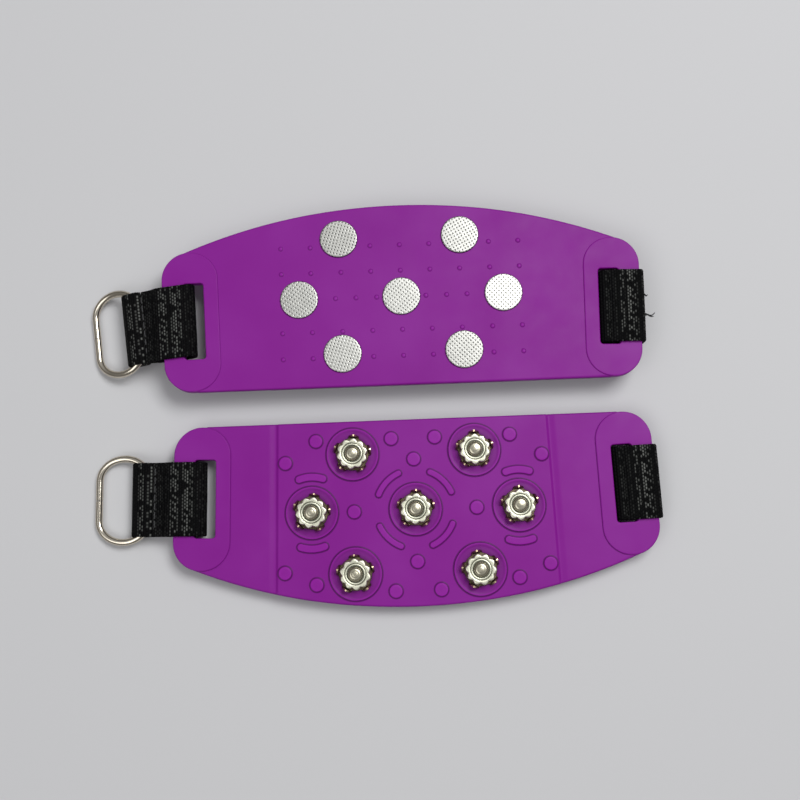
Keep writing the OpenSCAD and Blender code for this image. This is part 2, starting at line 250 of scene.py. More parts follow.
def rounded_prism(build, outer, hole, low, high, rim, matrix):
    """A flat plate with or without a hole, its rims rounded."""
    curve = bpy.data.curves.new("outline", "CURVE")
    curve.dimensions = "2D"
    curve.fill_mode = "BOTH"
    for loop in [outer, hole[::-1]] if hole else [outer]:
        spline = curve.splines.new("POLY")
        spline.points.add(len(loop) - 1)
        for point, (x, y) in zip(spline.points, loop):
            point.co = (x, y, 0, 1)
        spline.use_cyclic_u = True
    curve.extrude = (high - low) / 2 - rim
    curve.bevel_depth = rim
    curve.bevel_resolution = 3
    curve.offset = -rim
    obj = bpy.data.objects.new("outline", curve)
    bpy.context.scene.collection.objects.link(obj)
    bpy.context.view_layer.update()
    mesh = bpy.data.meshes.new_from_object(obj.evaluated_get(bpy.context.evaluated_depsgraph_get()))
    bm = bmesh.new()
    bm.from_mesh(mesh)
    bmesh.ops.remove_doubles(bm, verts=bm.verts, dist=1e-3)
    points = [(v.co.x, v.co.y, v.co.z + (low + high) / 2) for v in bm.verts]
    faces = [[v.index for v in f.verts] for f in bm.faces]
    bm.free()
    bpy.data.objects.remove(obj)
    bpy.data.curves.remove(curve)
    bpy.data.meshes.remove(mesh)
    build.add(points, faces, matrix)


def tube(build, path, radius, n, matrix, tone=1.0, taper=False):
    """A round wire along a path, with n points round it."""
    pts = [Vector(p) for p in path]
    points, uvs = [], []
    up = Vector((0, 0, 1))
    along = 0.0
    for i, p in enumerate(pts):
        a, b = pts[max(i - 1, 0)], pts[min(i + 1, len(pts) - 1)]
        d = (b - a).normalized()
        if abs(d.dot(up)) > 0.95:
            up = Vector((1, 0, 0))
        x = d.cross(up).normalized()
        y = d.cross(x).normalized()
        up = -y if up.dot(y) < 0 else y
        r = radius * (1 - 0.6 * i / (len(pts) - 1)) if taper else radius
        if i:
            along += (p - pts[i - 1]).length
        for k in range(n):
            t = 2 * math.pi * k / n
            points.append(p + (x * math.cos(t) + y * math.sin(t)) * r)
            uvs.append((along, r * t))
    faces = ring_faces(len(pts), n) + [list(range(n)), list(range(len(points) - n, len(points)))]
    build.add(points, faces, matrix, tone=tone, uv=uvs)


def smooth_path(points, step):
    """A path through the points at an even step, with soft corners."""
    p = np.array([points[0]] + list(points) + [points[-1]], float)
    fine = []
    for i in range(1, len(p) - 2):
        for t in np.linspace(0, 1, 12, endpoint=False):
            fine.append(0.5 * (2 * p[i] + (p[i + 1] - p[i - 1]) * t
                               + (2 * p[i - 1] - 5 * p[i] + 4 * p[i + 1] - p[i + 2]) * t ** 2
                               + (3 * p[i] - p[i - 1] - 3 * p[i + 1] + p[i + 2]) * t ** 3))
    fine.append(p[-2])
    fine = np.array(fine)
    gaps = np.linalg.norm(np.diff(fine, axis=0), axis=1)
    run = np.concatenate([[0], np.cumsum(gaps)])
    marks = np.linspace(0, run[-1], max(2, int(round(run[-1] / step)) + 1))
    return np.stack([np.interp(marks, run, fine[:, k]) for k in range(2)], axis=1)


def arc(cx, cy, r, start, end, steps=8):
    """Points on an arc, its ends in degrees."""
    return [(cx + r * math.cos(math.radians(start + (end - start) * k / steps)),
             cy + r * math.sin(math.radians(start + (end - start) * k / steps))) for k in range(steps + 1)]


def webbing(build, path, matrix, seed, along=0.0, wave=0.06, skew=0.0, bright=(-200, 200), step=0.4):
    """A strip of webbing along a path of (outward, height) points. Its ribs are real ridges.
    Between the two places in bright its yarns get painted highlights, and elsewhere only faint ones."""
    line = smooth_path(path, step)
    d = np.gradient(line, axis=0)
    d /= np.linalg.norm(d, axis=1)[:, None]
    normal = np.stack([-d[:, 1], d[:, 0]], axis=1)
    half_w, half_t = WEB_W / 2, WEB_T / 2
    # (across, share of the half thickness) round a cut through the strip
    ys = np.linspace(-half_w + 0.45, half_w - 0.45, 44)
    edge = [(half_w - 0.12, 0.66), (half_w, 0.0), (half_w - 0.12, -0.66)]
    section = [(y, 1.0) for y in ys] + edge
    section += [(-y, -side) for y, side in section]
    points, uvs, glints = [], [], []
    for i, (p, n) in enumerate(zip(line, normal)):
        s = along + i * step
        glint = 0.16 + 0.84 * smoothstep((p[0] - bright[0]) / 1.6) * smoothstep((bright[1] - p[0]) / 1.6)
        wave_along = math.cos(2 * math.pi * s / PICK)
        for y, side in section:
            ripple = wave * noise.noise(Vector((s * 0.35, y * 0.16, seed)))
            rib = 0.045 * wave_along * (1 if abs(side) == 1 else 0.5)
            # the edge's loops of weft
            loop = 0.10 * math.cos(2 * math.pi * s / PICK + seed) if abs(side) < 1 else 0
            q = p + n * (half_t * side * 0.98 + rib * side + ripple)
            points.append((q[0] + skew * y, y + math.copysign(loop, y), q[1]))
            uvs.append((s, y))
            glints.append(float(glint))
    cols = len(section)
    faces = ring_faces(len(line), cols)
    faces += [list(range(cols)), list(range(len(points) - cols, len(points)))]
    build.add(points, faces, matrix, uv=uvs, glint=glints)


def stitches(build, matrix, x, h, lean, y0=-10.6, y1=10.6, length=2.1, pitch=2.9):
    """A row of stitches across the webbing, each a short thread arched to the side lean gives."""
    y = y0
    while y + length <= y1 + 0.01:
        steps = [k / 6 for k in range(7)]
        path = [(x, y + length * t, h + lean * (math.sin(math.pi * t) * 0.22 - 0.1)) for t in steps]
        tube(build, path, 0.2, 8, matrix, tone=1.7)
        y += pitch


# ---------------------------------------------------------------- materials

def material(name, base, rough, metal=0.0):
    """A plain material with its nodes, links and shader."""
    m = bpy.data.materials.new(name)
    m.use_nodes = True
    nodes, links = m.node_tree.nodes, m.node_tree.links
    shader = nodes.get("Principled BSDF") or nodes.new("ShaderNodeBsdfPrincipled")
    if not nodes.get("Material Output"):
        out = nodes.new("ShaderNodeOutputMaterial")
        links.new(shader.outputs[0], out.inputs[0])
    shader.inputs["Base Color"].default_value = (*base, 1)
    shader.inputs["Roughness"].default_value = rough
    shader.inputs["Metallic"].default_value = metal
    return m, nodes, links, shader


def spot(nodes, links, scale):
    """Object coordinates in mm, times a scale."""
    coord = nodes.new("ShaderNodeTexCoord")
    mapping = nodes.new("ShaderNodeMapping")
    s = scale / MM
    mapping.inputs["Scale"].default_value = (s, s, s)
    links.new(coord.outputs["Object"], mapping.inputs["Vector"])
    return mapping.outputs[0]


def noise_of(nodes, links, scale, detail=3.0, rough=0.55):
    """Noise that is scale cells to the mm."""
    n = nodes.new("ShaderNodeTexNoise")
    n.inputs["Scale"].default_value = 1.0
    n.inputs["Detail"].default_value = detail
    n.inputs["Roughness"].default_value = rough
    links.new(spot(nodes, links, scale), n.inputs["Vector"])
    return n.outputs[0]


def ramp(nodes, links, value, stops):
    """A colour ramp with stops of (place, colour)."""
    r = nodes.new("ShaderNodeValToRGB")
    el = r.color_ramp.elements
    while len(el) > 1:
        el.remove(el[-1])
    el[0].position, el[0].color = stops[0][0], (*stops[0][1], 1)
    for pos, col in stops[1:]:
        e = el.new(pos)
        e.color = (*col, 1)
    links.new(value, r.inputs[0])
    return r.outputs[0]


def math_node(nodes, links, op, a, b=None, c=None):
    """A sum on sockets or numbers."""
    n = nodes.new("ShaderNodeMath")
    n.operation = op
    for k, x in enumerate((a, b, c)):
        if x is None:
            continue
        if isinstance(x, (int, float)):
            n.inputs[k].default_value = x
        else:
            links.new(x, n.inputs[k])
    return n.outputs[0]


def times(nodes, links, colour, value):
    """A colour times a number."""
    mix = nodes.new("ShaderNodeVectorMath")
    mix.operation = "SCALE"
    links.new(colour, mix.inputs[0])
    links.new(value, mix.inputs["Scale"])
    return mix.outputs[0]


def tone_of(nodes):
    """The mesh's tone: mostly painted shade and painted highlights."""
    a = nodes.new("ShaderNodeAttribute")
    a.attribute_type = "GEOMETRY"
    a.attribute_name = "tone"
    return a.outputs["Fac"]


def bump(nodes, links, shader, height, distance, strength=1.0, after=None):
    """Relief as deep as distance, in mm, on top of the relief after."""
    b = nodes.new("ShaderNodeBump")
    b.inputs["Strength"].default_value = strength
    b.inputs["Distance"].default_value = distance * MM
    links.new(height, b.inputs["Height"])
    if after is not None:
        links.new(after, b.inputs["Normal"])
    links.new(b.outputs[0], shader.inputs["Normal"])
    return b.outputs[0]


def grey(v):
    return (v, v, v)


def make_rubber():
    """Purple rubber, a little patchy, with a fine grain and faint waves."""
    m, nodes, links, shader = material("rubber_purple", (0.223, 0.022, 0.27), 0.42)
    patches = noise_of(nodes, links, 0.035, 2.5)
    colour = ramp(nodes, links, patches, [(0.3, (0.205, 0.006, 0.238)), (0.5, (0.216, 0.009, 0.252)),
                                          (0.7, (0.228, 0.014, 0.268))])
    links.new(times(nodes, links, colour, tone_of(nodes)), shader.inputs["Base Color"])
    dull = ramp(nodes, links, noise_of(nodes, links, 0.12, 4.0), [(0.3, grey(0.4)), (0.7, grey(0.52))])
    links.new(dull, shader.inputs["Roughness"])
    shader.inputs["Specular IOR Level"].default_value = 0.16
    first = bump(nodes, links, shader, noise_of(nodes, links, 1.6, 3.0), 0.02, 0.7)
    bump(nodes, links, shader, noise_of(nodes, links, 0.05, 1.0), 0.2, 0.5, after=first)
    return m


def make_metal(name, base, rough, grain, spread, dirt, grit=0.4):
    """Bare metal. spread is how unevenly it is polished, dirt how much it darkens in patches."""
    m, nodes, links, shader = material(name, base, rough, 1.0)
    low = tuple(c * (1 - dirt * 2) for c in base)
    colour = ramp(nodes, links, noise_of(nodes, links, grain * 0.3, 4.0), [(0.28, low), (0.6, base)])
    links.new(times(nodes, links, colour, tone_of(nodes)), shader.inputs["Base Color"])
    polish = ramp(nodes, links, noise_of(nodes, links, grain, 3.0),
                  [(0.3, grey(max(0.05, rough - spread))), (0.7, grey(rough + spread))])
    links.new(polish, shader.inputs["Roughness"])
    bump(nodes, links, shader, noise_of(nodes, links, grain * 2.2, 2.0), 0.006, grit)
    return m


PIT_SPACING = 1.1
# Whole cells added so that every place on the grid is positive
GRID_SHIFT = 40.0


def make_pitted_steel():
    """Zinc-plated steel with a grid of small pits, each pit painted darker as shade."""
    m = make_metal("disc_steel", (0.52, 0.52, 0.49), 0.4, 1.2, 0.06, dirt=0.04)
    nodes, links = m.node_tree.nodes, m.node_tree.links
    shader = nodes["Principled BSDF"]
    uv = nodes.new("ShaderNodeUVMap")
    uv.uv_map = "weave"
    part = nodes.new("ShaderNodeSeparateXYZ")
    links.new(uv.outputs[0], part.inputs[0])

    def op(*args):
        return math_node(nodes, links, *args)

    # distance from the middle of the nearest cell of the grid, squared along each axis
    squares = []
    for axis in (0, 1):
        cell = op("FRACT", op("MULTIPLY_ADD", part.outputs[axis], 1 / PIT_SPACING, GRID_SHIFT))
        centred = op("SUBTRACT", cell, 0.5)
        squares.append(op("MULTIPLY", centred, centred))
    gap = op("SQRT", op("ADD", *squares))
    # 0 in a pit and 1 on the flat between pits
    flat = op("MAXIMUM", op("SMOOTH_MIN", op("MULTIPLY_ADD", gap, 5.5, -0.72), 1.0, 0.1), 0.0)
    # each pit is painted darker, as painted shade in the pit, besides its bump
    plain = shader.inputs["Base Color"].links[0].from_socket
    links.new(times(nodes, links, plain, op("MULTIPLY_ADD", flat, 0.7, 0.3)), shader.inputs["Base Color"])
    first = shader.inputs["Normal"].links[0].from_socket
    bump(nodes, links, shader, flat, 0.06, 0.8, after=first)
    return m


def make_webbing():
    """Woven tape. The weave is worked out from the place along and across the strip, in mm."""
    # the second colour is a painted highlight, mixed onto the tops of some yarns
    dark, glint_paint = (0.0022, 0.0022, 0.0025), (0.15, 0.155, 0.145)
    m, nodes, links, shader = material("webbing_black", dark, 0.6)

    def op(*args):
        return math_node(nodes, links, *args)

    uv = nodes.new("ShaderNodeUVMap")
    uv.uv_map = "weave"
    part = nodes.new("ShaderNodeSeparateXYZ")
    links.new(uv.outputs[0], part.inputs[0])
    rows = op("DIVIDE", part.outputs[0], PICK / 2)
    row = op("FLOOR", rows)
    # every other row of yarns is shifted by half a yarn
    odd = op("MODULO", op("ADD", row, 4000.0), 2.0)
    cols = op("ADD", op("DIVIDE", part.outputs[1], END), op("MULTIPLY", odd, 0.5))
    # a yarn shows as a round-topped oval, highest in the middle of its cell
    hump_along = op("SINE", op("MULTIPLY", op("FRACT", rows), math.pi))
    hump_across = op("SINE", op("MULTIPLY", op("FRACT", cols), math.pi))
    hump = op("MULTIPLY", hump_along, op("POWER", hump_across, 0.6))
    cell = nodes.new("ShaderNodeCombineXYZ")
    links.new(row, cell.inputs[0])
    links.new(op("FLOOR", cols), cell.inputs[1])
    chance = nodes.new("ShaderNodeTexWhiteNoise")
    chance.noise_dimensions = "2D"
    links.new(cell.outputs[0], chance.inputs["Vector"])
    # painted highlights: some rows get them on their yarn tops and others stay dark
    band = nodes.new("ShaderNodeTexNoise")
    band.noise_dimensions = "1D"
    band.inputs["Scale"].default_value = 0.55
    band.inputs["Detail"].default_value = 2.0
    links.new(part.outputs[0], band.inputs["W"])
    row_light = op("MULTIPLY", op("POWER", hump, 2.2), op("MULTIPLY_ADD", band.outputs[0], 4.6, -1.75))
    lit = op("MULTIPLY", op("GREATER_THAN", chance.outputs[0], 0.36), row_light)
    lit = op("MINIMUM", op("MAXIMUM", lit, 0.0), 1.0)
    # the glint attribute sets how much painted highlight each place of the strip gets
    glint = nodes.new("ShaderNodeAttribute")
    glint.attribute_name = "glint"
    mix = nodes.new("ShaderNodeMix")
    mix.data_type = "RGBA"
    mix.inputs[6].default_value = (*dark, 1)
    mix.inputs[7].default_value = (*glint_paint, 1)
    links.new(op("MULTIPLY", lit, glint.outputs["Fac"]), mix.inputs[0])
    links.new(times(nodes, links, mix.outputs[2], tone_of(nodes)), shader.inputs["Base Color"])
    shader.inputs["Specular IOR Level"].default_value = 0.06
    fibres = noise_of(nodes, links, 5.0, 3.0)
    bump(nodes, links, shader, op("ADD", hump, op("MULTIPLY", fibres, 0.35)), 0.22, 1.0)
    return m


def make_fuzz(name, base, scale, depth):
    """Dull nylon: thread, loops or hooks."""
    m, nodes, links, shader = material(name, base, 0.8)
    n = noise_of(nodes, links, scale, 5.0, 0.7)
    dark, light = tuple(c * 0.5 for c in base), tuple(c * 2.2 for c in base)
    colour = ramp(nodes, links, n, [(0.35, dark), (0.7, light)])
    links.new(times(nodes, links, colour, tone_of(nodes)), shader.inputs["Base Color"])
    bump(nodes, links, shader, n, depth, 1.0)
    return m


RUBBER = make_rubber()
DISC_STEEL = make_pitted_steel()
CROWN_STEEL = make_metal("crown_steel", (0.66, 0.66, 0.53), 0.42, 1.0, 0.06, dirt=0.05)
PIN_STEEL = make_metal("pin_steel", (0.52, 0.49, 0.38), 0.3, 1.0, 0.03, dirt=0.05)
# a dark brown metal for the claws: partly painted shade under the crown and painted reflection of the purple
# rubber
CLAW_SHADED_METAL = make_metal("claw_brass", (0.34, 0.27, 0.17), 0.38, 1.4, 0.08, dirt=0.2)
RING_NICKEL = make_metal("ring_nickel", (0.66, 0.60, 0.50), 0.16, 0.25, 0.03, dirt=0.06, grit=0.1)
WEBBING = make_webbing()
THREAD = make_fuzz("thread_black", (0.02, 0.02, 0.021), 6.0, 0.05)
LOOP_PILE = make_fuzz("loop_pile", (0.012, 0.012, 0.013), 2.2, 0.5)
HOOK_NYLON = make_fuzz("hook_nylon", (0.016, 0.016, 0.017), 3.0, 0.08)

# ---------------------------------------------------------------- rubber plates


def smoothstep(t):
    """A soft step from 0 to 1."""
    t = min(1.0, max(0.0, t))
    return t * t * (3 - 2 * t)


def curve_edge(u):
    """The plate's curved edge at a distance u from its middle."""
    return CURVE_R - CURVED_EDGE - math.sqrt(CURVE_R ** 2 - u ** 2)


def sheet_top(c):
    """Height of the ground side at a place along the plate. It steps down to a groove at each fold."""
    past = abs(c) - FOLD_X
    if past < 0:
        return SOLE_T - (SOLE_T - WING_T + GROOVE) * smoothstep((past + STEP_RUN) / STEP_RUN)
    return WING_T - GROOVE * (1 - smoothstep(past / GROOVE_RUN))


def sheet_section(low, high, top, rim=0.75, across=14):
    """A closed ring of (v, z) round a cut through the sheet."""
    flat = np.linspace(low + rim, high - rim, across)
    ring = [(v, 0.0) for v in flat]
    ring += arc(high - rim, rim, rim, -90, 0, 4)[1:]
    ring += arc(high - rim, top - rim, rim, 0, 90, 4)
    ring += [(v, top) for v in flat[::-1][1:-1]]
    ring += arc(low + rim, top - rim, rim, 90, 180, 4)
    ring += arc(low + rim, rim, rim, 180, 270, 4)[:-1]
    return ring


def sheet_part(build, columns, limits, matrix):
    """The sheet between its first and last column. limits(u) gives its edges there."""
    points = []
    for c in columns:
        lean = smoothstep(abs(c) / 40) * math.tan(math.radians(SPLAY)) * math.copysign(1, c)
        low, high = limits(abs(c))
        ring = sheet_section(low, high, sheet_top(c))
        points += [(c - lean * (v - FOLD_Y), v, z) for v, z in ring]
    n = len(points) // len(columns)
    faces = ring_faces(len(columns), n) + [list(range(n)), list(range(len(points) - n, len(points)))]
    build.add(points, faces, matrix)


def whole(u):
    """Both edges of the plate at u."""
    return curve_edge(u), STRAIGHT_EDGE


# The edge of a raised shape: (outward, height, tone) from its creased foot to its soft rim. The tone paints
# shade in the crease at the foot and a highlight on the rim.
RELIEF_EDGE = [(0.42, -0.06, 1.0), (0.36, 0.02, 0.6), (0.22, 0.04, 0.5), (0, 0.12, 0.48),
               (-0.1, RELIEF_H - 0.16, 0.6), (-0.2, RELIEF_H - 0.05, 1.12), (-0.4, RELIEF_H, 1.22)]


def button(r):
    """A raised dot."""
    profile = [(r + out, z, tone) for out, z, tone in RELIEF_EDGE]
    # the dot's top is painted a little lighter, as a highlight
    return lathe(profile + [(r * 0.6, RELIEF_H, 1.14), (0, RELIEF_H, 1.1)], 40)


def boss(r):
    """The raised round under a stud: a thin lip round a shallow dish."""
    # tones: painted shade in the crease at the foot, a painted highlight on the lip, the dish painted darker
    # where it gives back less sheen, and painted shade under the washer in the middle
    h = RELIEF_H
    foot = [(r + 0.5, -0.06, 1.0), (r + 0.42, 0.02, 0.6), (r + 0.24, 0.04, 0.45), (r, 0.12, 0.42)]
    lip = [(r - 0.1, h - 0.14, 0.55), (r - 0.18, h - 0.03, 1.1), (r - 0.42, h, 1.1)]
    dish = [(r - 0.7, h - 0.04, 0.92), (r - 1.0, h - 0.14, 0.8), (r - 1.5, h - 0.16, 0.84)]
    dish += [(6.6, h - 0.1, 0.82), (5.8, h - 0.02, 0.7)]
    return lathe(foot + lip + dish + [(0, h - 0.02, 0.6)], 96)


def pimple():
    """A small bump on the foot side, below the sheet."""
    # tones: painted shade in a ring round its foot and a painted highlight on its top
    return lathe([(1.0, 0.03, 1.0), (0.86, -0.02, 0.8), (0.7, -0.07, 0.72), (0.58, -0.2, 0.95),
                  (0.4, -0.29, 1.15), (0, -0.31, 1.1)], 20)


def rib(r, width, half_angle):
    """An arc-shaped rib about the origin, its middle on +X."""
    end = math.radians(half_angle)

    def outline(inset):
        half, out = width / 2 - inset, []
        for side in (1, -1):
            # the long edge, then the round end that leads to the other one
            for k in range(17):
                t = side * (2 * end * k / 16 - end)
                out.append(((r + side * half) * math.cos(t), (r + side * half) * math.sin(t)))
            cx, cy = r * math.cos(end), side * r * math.sin(end)
            first = side * end + (0 if side == 1 else math.pi)
            for k in range(1, 10):
                t = first + math.pi * k / 10
                out.append((cx + half * math.cos(t), cy + half * math.sin(t)))
        return out

    # the rib's top is painted a little lighter, as a highlight
    return stack(outline, [(-out, z, tone) for out, z, tone in RELIEF_EDGE] + [(0.6, RELIEF_H, 1.14)])


DOTS = [(7.3, 23.8), (32.5, 23.8), (42.9, 16.8), (20.4, -0.2), (43.9, -19.5), (33.5, -23.7), (7.5, -26.7)]
PIMPLE_ROWS = [(-17.9, "no heads"), (-9, "full"), (0, "middle"), (11.4, "full"), (20.3, "no heads")]
PIMPLE_X = {"full": [0, 10, 20.1, 30.3, 40.3], "no heads": [0, 10, 30.3, 40.3], "middle": [8.3, 15.3, 22.2]}


def plate_middle(g):
    """The sole: the sheet between the folds with its relief."""
    build = Build()
    m = grip_frame(g)
    edge = FOLD_X - 1.3
    fine = [edge - 0.5 * k for k in range(8)]
    columns = [-c for c in fine] + list(np.linspace(-41.3, 41.3, 42)) + fine[::-1]
    sheet_part(build, columns, whole, m)
    top = m @ shift(0, 0, SOLE_T)
    for x, y in [(0, 16.7), (0, -17.3)] + DOTS + [(-x, y) for x, y in DOTS]:
        p, f, t = button(DOT_R)
        build.add(p, f, top @ shift(x, y, 0), tone=t)
    for middle in (45, 135, 225, 315):
        p, f, t = rib(*CENTRE_ARC)
        build.add(p, f, top @ turn("Z", middle), tone=t)
    for x in (-34.5, 34.5):
        for middle in (90, 270):
            p, f, t = rib(*END_ARC)
            build.add(p, f, top @ shift(x, 0, 0) @ turn("Z", middle), tone=t)
    for x, y in STUDS:
        p, f, t = boss(BOSS_R)
        build.add(p, f, top @ shift(x, y, 0), tone=t)
    for y, kind in PIMPLE_ROWS:
        for x in sorted({s * x for x in PIMPLE_X[kind] for s in (-1, 1)}):
            p, f, t = pimple()
            build.add(p, f, m @ shift(x, y, 0), tone=t)
    obj = build.finish(f"{g}_plate_middle", RUBBER)
    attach(obj, f"{g}_sole")
    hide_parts(f"{g}_sole")


def plate_wing(g, side, word):
    """One wing with its end pad, from the fold line outward."""
    build = Build()
    m = grip_frame(g)
    near = FOLD_X - 1.3
    columns = list(np.arange(near, near + 6.0, 0.3)) + list(np.linspace(near + 6.2, 65.8, 12))
    sheet_part(build, [side * c for c in columns], whole, m)
    # past the slot's near edge the sheet only shows beside the pad's round corners
    upper = lambda u: (21.0, STRAIGHT_EDGE - 2.5 * smoothstep((u - 70) / 3))
    lower = lambda u: (curve_edge(u), -8.6)
    sheet_part(build, [side * c for c in np.linspace(65.8, 72.8, 10)], upper, m)
    sheet_part(build, [side * c for c in np.linspace(65.8, 74.2, 12)], lower, m)
    outer = rounded(PAD_LOW, PAD_HIGH, PAD_R, 14)
    slot = rounded(SLOT_LOW, SLOT_HIGH, SLOT_R, 5)
    rounded_prism(build, outer, slot, *PAD_Z, PAD_RIM, pad_frame(g, side))
    obj = build.finish(f"{g}_plate_{word}", RUBBER)
    sole, wing = f"{g}_sole", f"{g}_wing_{word}"
    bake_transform(obj)
    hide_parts(wing)


# ---------------------------------------------------------------- studs

def discs(g):
    """Flat rivet heads on the foot side. Their fine grid of pits is worked out from the place on the disc."""
    rng = random.Random(11 if g == "a" else 12)
    build = Build()
    m = grip_frame(g)
    # tones: low on its side the rim is painted darker, as painted shade at the disc's edge, and a touch
    # lighter where it rounds over, as a highlight
    profile = [(0, 0.3, 1.0), (HEAD_R - 0.04, 0.3, 1.0), (HEAD_R, 0.2, 1.0), (HEAD_R, -0.42, 0.5),
               (HEAD_R - 0.06, -0.56, 0.9), (HEAD_R - 0.2, -0.66, 1.05), (HEAD_R - 0.45, -HEAD_PROUD, 1.02),
               (3, -HEAD_PROUD, 1.0), (0, -HEAD_PROUD, 1.0)]
    for x, y in STUDS:
        p, f, t = lathe(profile, 72)
        # each disc is given a random brightness
        disc_brightness = rng.uniform(0.72, 1.05)
        t = [tone * disc_brightness for tone in t]
        a = rng.uniform(0, math.pi / 2)
        cos, sin = math.cos(a), math.sin(a)
        uv = [(px * cos - py * sin + 0.3, px * sin + py * cos - 0.2) for px, py, _ in p]
        build.add(p, f, m @ shift(x, y, 0), tone=t, uv=uv)
    obj = build.finish(f"{g}_rivet_heads", DISC_STEEL)
    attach(obj, f"{g}_sole")
    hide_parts(f"{g}_head_discs")


def stud_turn(g, k):
    """How far a stud is turned, in degrees."""
    return random.Random(40 + k + (7 if g == "b" else 0)).uniform(-14, 14)


def crown_rings(g):
    """The toothed ring of each stud."""
    def radius(r, a):
        """Cuts pointed teeth into the rim."""
        saw = abs(2 * ((CROWN_TEETH * a / (2 * math.pi)) % 1) - 1)
        depth = 0.75 * max(0.0, min(1.0, (r - 4.2) / 0.6))
        return r - depth * saw ** 1.4

    # tones: painted shade under the ring, in its groove and down its hole, and a painted highlight along the
    # rounded rim
    rim = [(1.7, 4.3, 0.4), (4.9, 4.3, 0.35), (CROWN_R, 4.5, 0.4), (CROWN_R, 5.8, 0.55), (CROWN_R, 6.5, 0.8),
           (5.16, 6.8, 1.1), (5.02, 6.98, 1.15), (4.8, 7.06, 1.05), (4.3, 7.08, 1.0), (3.72, 7.08, 1.0)]
    groove = [(3.6, 7.02, 0.7), (3.54, 6.9, 0.3), (3.44, 6.88, 0.3), (3.38, 7.0, 0.7), (3.26, 7.08, 1.02)]
    hole = [(2.95, 7.08, 1.0), (2.84, 7.0, 0.6), (2.78, 6.8, 0.25), (1.7, 6.75, 0.2), (1.7, 4.3, 0.4)]
    build = Build()
    for k, (x, y) in enumerate(STUDS):
        p, f, t = lathe(rim + groove + hole, 160, radius)
        build.add(p, f, grip_frame(g) @ shift(x, y, 0) @ turn("Z", stud_turn(g, k)), tone=t)
    obj = build.finish(f"{g}_toothed_rings", CROWN_STEEL, smooth=50)
    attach(obj, f"{g}_sole")
    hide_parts(f"{g}_crowns")


def pins(g):
    """The rivet's pin with its domed tip inside the ring."""
    build = Build()
    # tones: painted shade where the pin meets the ring and in a dark ring round the dome, and a painted
    # highlight on the dome's top
    shank = [(0, 0.3, 1.0), (1.6, 0.3, 1.0), (1.6, 6.9, 0.4), (2.5, 6.92, 0.2), (2.52, 7.15, 0.2)]
    dome = [(2.42, 7.3, 0.35), (2.3, 7.42, 0.75), (2.24, 7.6, 0.95), (2.1, 7.84, 1.0), (1.8, 8.04, 1.0),
            (1.5, 8.16, 1.0), (1.2, 8.2, 0.8), (1.05, 8.19, 0.7), (0.9, 8.22, 0.95), (0.5, 8.29, 1.1),
            (0, 8.3, 1.15)]
    for x, y in STUDS:
        p, f, t = lathe(shank + dome, 48)
        build.add(p, f, grip_frame(g) @ shift(x, y, 0), tone=t)
    obj = build.finish(f"{g}_rivets", PIN_STEEL, smooth=50)
    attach(obj, f"{g}_sole")
    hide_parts(f"{g}_rivet_pins")


def claw_rings(g):
    """The washer under each crown, its five claws bent up beside it."""
    build = Build()
    # the washer is painted dark, as painted shade under the crown
    washer = [(1.7, 3.5, 0.4), (5.3, 3.5, 0.4), (5.45, 3.62, 0.45), (5.45, 4.1, 0.45), (5.3, 4.24, 0.5),
              (1.7, 4.24, 0.4), (1.7, 3.5, 0.4)]
    # (outward, up, half width) along a bent claw
    spine = [(4.9, 3.86, 1.9), (5.45, 3.88, 1.85), (5.74, 4.1, 1.75), (5.86, 4.5, 1.55), (5.94, 5.1, 1.15),
             (6.02, 5.75, 0.66), (6.12, 6.3, 0.2)]
    half_thick = 0.3
    for k, (x, y) in enumerate(STUDS):
        at = grip_frame(g) @ shift(x, y, 0) @ turn("Z", 90 + stud_turn(g, k) * 0.8)
        p, f, t = lathe(washer, 60)
        build.add(p, f, at, tone=t)
        for n in range(CLAWS):
            claw = at @ turn("Z", 360 / CLAWS * n)
            points, tones = [], []
            for i, (r, z, half) in enumerate(spine):
                a, b = spine[max(i - 1, 0)], spine[min(i + 1, len(spine) - 1)]
                d = Vector((b[0] - a[0], b[1] - a[1])).normalized()
                nx, nz = -d.y * half_thick, d.x * half_thick
                # each claw is painted dark at its foot, as painted shade under the crown, and bright at its
                # tip, as a painted highlight
                tone = 0.62 + 1.9 * smoothstep((i - 4.4) / 1.6)
                for w, s in ((-half, -1), (half, -1), (half * 0.92, 1), (-half * 0.92, 1)):
                    points.append((r + nx * s, w, z + nz * s))
                    tones.append(tone)
            faces = ring_faces(len(spine), 4) + [[0, 1, 2, 3], [len(points) - 4 + q for q in range(4)]]
            build.add(points, faces, claw, tone=tones)
    obj = build.finish(f"{g}_claw_rings", CLAW_SHADED_METAL, smooth=40)
    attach(obj, f"{g}_sole")
    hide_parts(f"{g}_claw_washers")


# ---------------------------------------------------------------- ring and its webbing

def ring_wire(g):
    """An oval of wire whose ends meet in the middle of the far side."""
    build = Build()
    half_l, straight, half_w, mid, gap = 14.0, 6.8, 8.7, 12.6, 0.12
    far = mid + half_w

    def quarter(number, first, y0):
        """A quarter of an oval round (mid, y0)."""
        angles = [math.pi / 2 * (number + k / 24) for k in range(first, 25)]
        return [(mid + half_w * math.cos(a), y0 + (half_l - straight) * math.sin(a)) for a in angles]

    path = [(far, y) for y in np.linspace(gap, straight, 12)]
    path += quarter(0, 1, straight) + quarter(1, 1, straight)
    path += [(mid - half_w, y) for y in np.linspace(straight, -straight, 12)[1:-1]]
    path += quarter(2, 0, -straight) + quarter(3, 1, -straight)
    path += [(far, y) for y in np.linspace(-straight, -gap, 12)[1:]]
    tube(build, [(x, y, 0) for x, y in path], WIRE_R, 24, tab_frame(g))
    obj = build.finish(f"{g}_wire_ring", RING_NICKEL, smooth=50, weighted=False)
    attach(obj, f"{g}_ring")
    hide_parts(f"{g}_ring")


